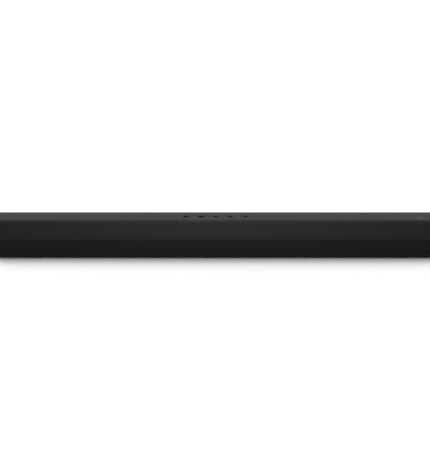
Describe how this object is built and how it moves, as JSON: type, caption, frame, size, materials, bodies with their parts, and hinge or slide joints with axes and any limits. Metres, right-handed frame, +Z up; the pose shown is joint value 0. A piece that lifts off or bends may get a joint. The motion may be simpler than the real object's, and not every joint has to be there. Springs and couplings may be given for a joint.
{
  "type": "soundbar",
  "caption": "Compact two-channel soundbar: a long plastic bar with a ridged fabric front, raised top push buttons, a recessed rear connector bay and wall keyholes.",
  "frame": {"origin": "centre of the bar's footprint, on the surface that the feet stand on", "axes": "+X along the bar to the right as a listener sees it, +Y towards the rear, +Z up"},
  "size_m": [0.72, 0.087, 0.0642],
  "materials": {
    "case_plastic": "fine spark-eroded texture, matte",
    "bay_plastic": "moulded, satin",
    "inner_plastic": "plain moulded",
    "grille_fabric": "fine black polyester knit stretched over the frame",
    "button_plastic": null,
    "badge": "satin, blank",
    "rubber": "matt moulded rubber",
    "zinc_steel": "zinc-plated pressing",
    "black_steel": "black oxide",
    "socket_steel": "tin-plated shell",
    "socket_plastic": "moulded",
    "shield_steel": "tin-plated can",
    "heat_sink": "extruded, bare",
    "ferrite": "sintered",
    "spider_cloth": "resin-dipped cloth",
    "coil_copper": "enamelled copper wire",
    "cone_paper": "pressed fibre",
    "wire_plastic": "extruded",
    "ribbon_film": "polyester film",
    "board_resin": "green solder mask",
    "chip_epoxy": "moulded epoxy",
    "light_pipe": "clear acrylic"
  },
  "bodies": {
    "root": {"top_cover": "case_plastic", "bottom_case": "case_plastic", "rear_panel": "case_plastic", "connector_bay": "bay_plastic", "grille_frame": "inner_plastic", "grille_fabric": "grille_fabric", "front_baffle": "inner_plastic", "left_end_cap": "case_plastic", "left_keyhole_plate": "zinc_steel", "left_speaker_wire": "wire_plastic", "left_speaker_basket": "black_steel", "left_speaker_magnet": "ferrite", "left_speaker_yoke": "zinc_steel", "left_speaker_spider": "spider_cloth", "left_speaker_surround": "rubber", "right_end_cap": "case_plastic", "right_keyhole_plate": "zinc_steel", "right_speaker_wire": "wire_plastic", "right_speaker_basket": "black_steel", "right_speaker_magnet": "ferrite", "right_speaker_yoke": "zinc_steel", "right_speaker_spider": "spider_cloth", "right_speaker_surround": "rubber", "video_socket": "socket_steel", "optical_socket": "socket_plastic", "data_socket": "socket_steel", "power_jack": "socket_plastic", "button_guide": "inner_plastic", "button_board": "board_resin", "ribbon_cable": "ribbon_film", "main_board": "board_resin", "heat_sink": "heat_sink", "amplifier_chip": "chip_epoxy", "wireless_module": "shield_steel", "status_board": "board_resin", "remote_receiver": "chip_epoxy", "light_pipe": "light_pipe", "badge_inlay": "badge", "rubber_foot_1": "rubber", "rubber_foot_2": "rubber", "rubber_foot_3": "rubber", "rubber_foot_4": "rubber", "case_screw_1": "black_steel", "case_screw_2": "black_steel", "case_screw_3": "black_steel", "case_screw_4": "black_steel", "case_screw_5": "black_steel", "case_screw_6": "black_steel"},
    "power_button": {"power_button": "button_plastic"},
    "source_button": {"source_button": "button_plastic"},
    "volume_down_button": {"volume_down_button": "button_plastic"},
    "volume_up_button": {"volume_up_button": "button_plastic"},
    "pairing_button": {"pairing_button": "button_plastic"},
    "left_cone": {"left_speaker_cone": "cone_paper", "left_dust_cap": "cone_paper", "left_voice_coil": "coil_copper"},
    "right_cone": {"right_speaker_cone": "cone_paper", "right_dust_cap": "cone_paper", "right_voice_coil": "coil_copper"},
    "shutter": {"optical_shutter": "socket_plastic"}
  },
  "joints": [
    {"name": "power_button_press", "type": "slide", "parent": "root", "child": "power_button", "axis": [0, 0, -1], "range_m": [0, 0.0007], "stiffness_N_per_m": 2000},
    {"name": "source_button_press", "type": "slide", "parent": "root", "child": "source_button", "axis": [0, 0, -1], "range_m": [0, 0.0007], "stiffness_N_per_m": 2000},
    {"name": "volume_down_button_press", "type": "slide", "parent": "root", "child": "volume_down_button", "axis": [0, 0, -1], "range_m": [0, 0.0007], "stiffness_N_per_m": 2000},
    {"name": "volume_up_button_press", "type": "slide", "parent": "root", "child": "volume_up_button", "axis": [0, 0, -1], "range_m": [0, 0.0007], "stiffness_N_per_m": 2000},
    {"name": "pairing_button_press", "type": "slide", "parent": "root", "child": "pairing_button", "axis": [0, 0, -1], "range_m": [0, 0.0007], "stiffness_N_per_m": 2000},
    {"name": "left_cone_stroke", "type": "slide", "parent": "root", "child": "left_cone", "axis": [0, -1, 0], "range_m": [-0.0025, 0.0025], "stiffness_N_per_m": 2000, "deforming": ["left_speaker_surround", "left_speaker_spider"]},
    {"name": "right_cone_stroke", "type": "slide", "parent": "root", "child": "right_cone", "axis": [0, -1, 0], "range_m": [-0.0025, 0.0025], "stiffness_N_per_m": 2000, "deforming": ["right_speaker_surround", "right_speaker_spider"]},
    {"name": "optical_shutter_swing", "type": "hinge", "parent": "root", "child": "shutter", "pos_m": [0.012, 0.01515, 0.02135], "axis": [-1, 0, 0], "range_deg": [0, 80], "stiffness_Nm_per_rad": 0.0005}
  ]
}
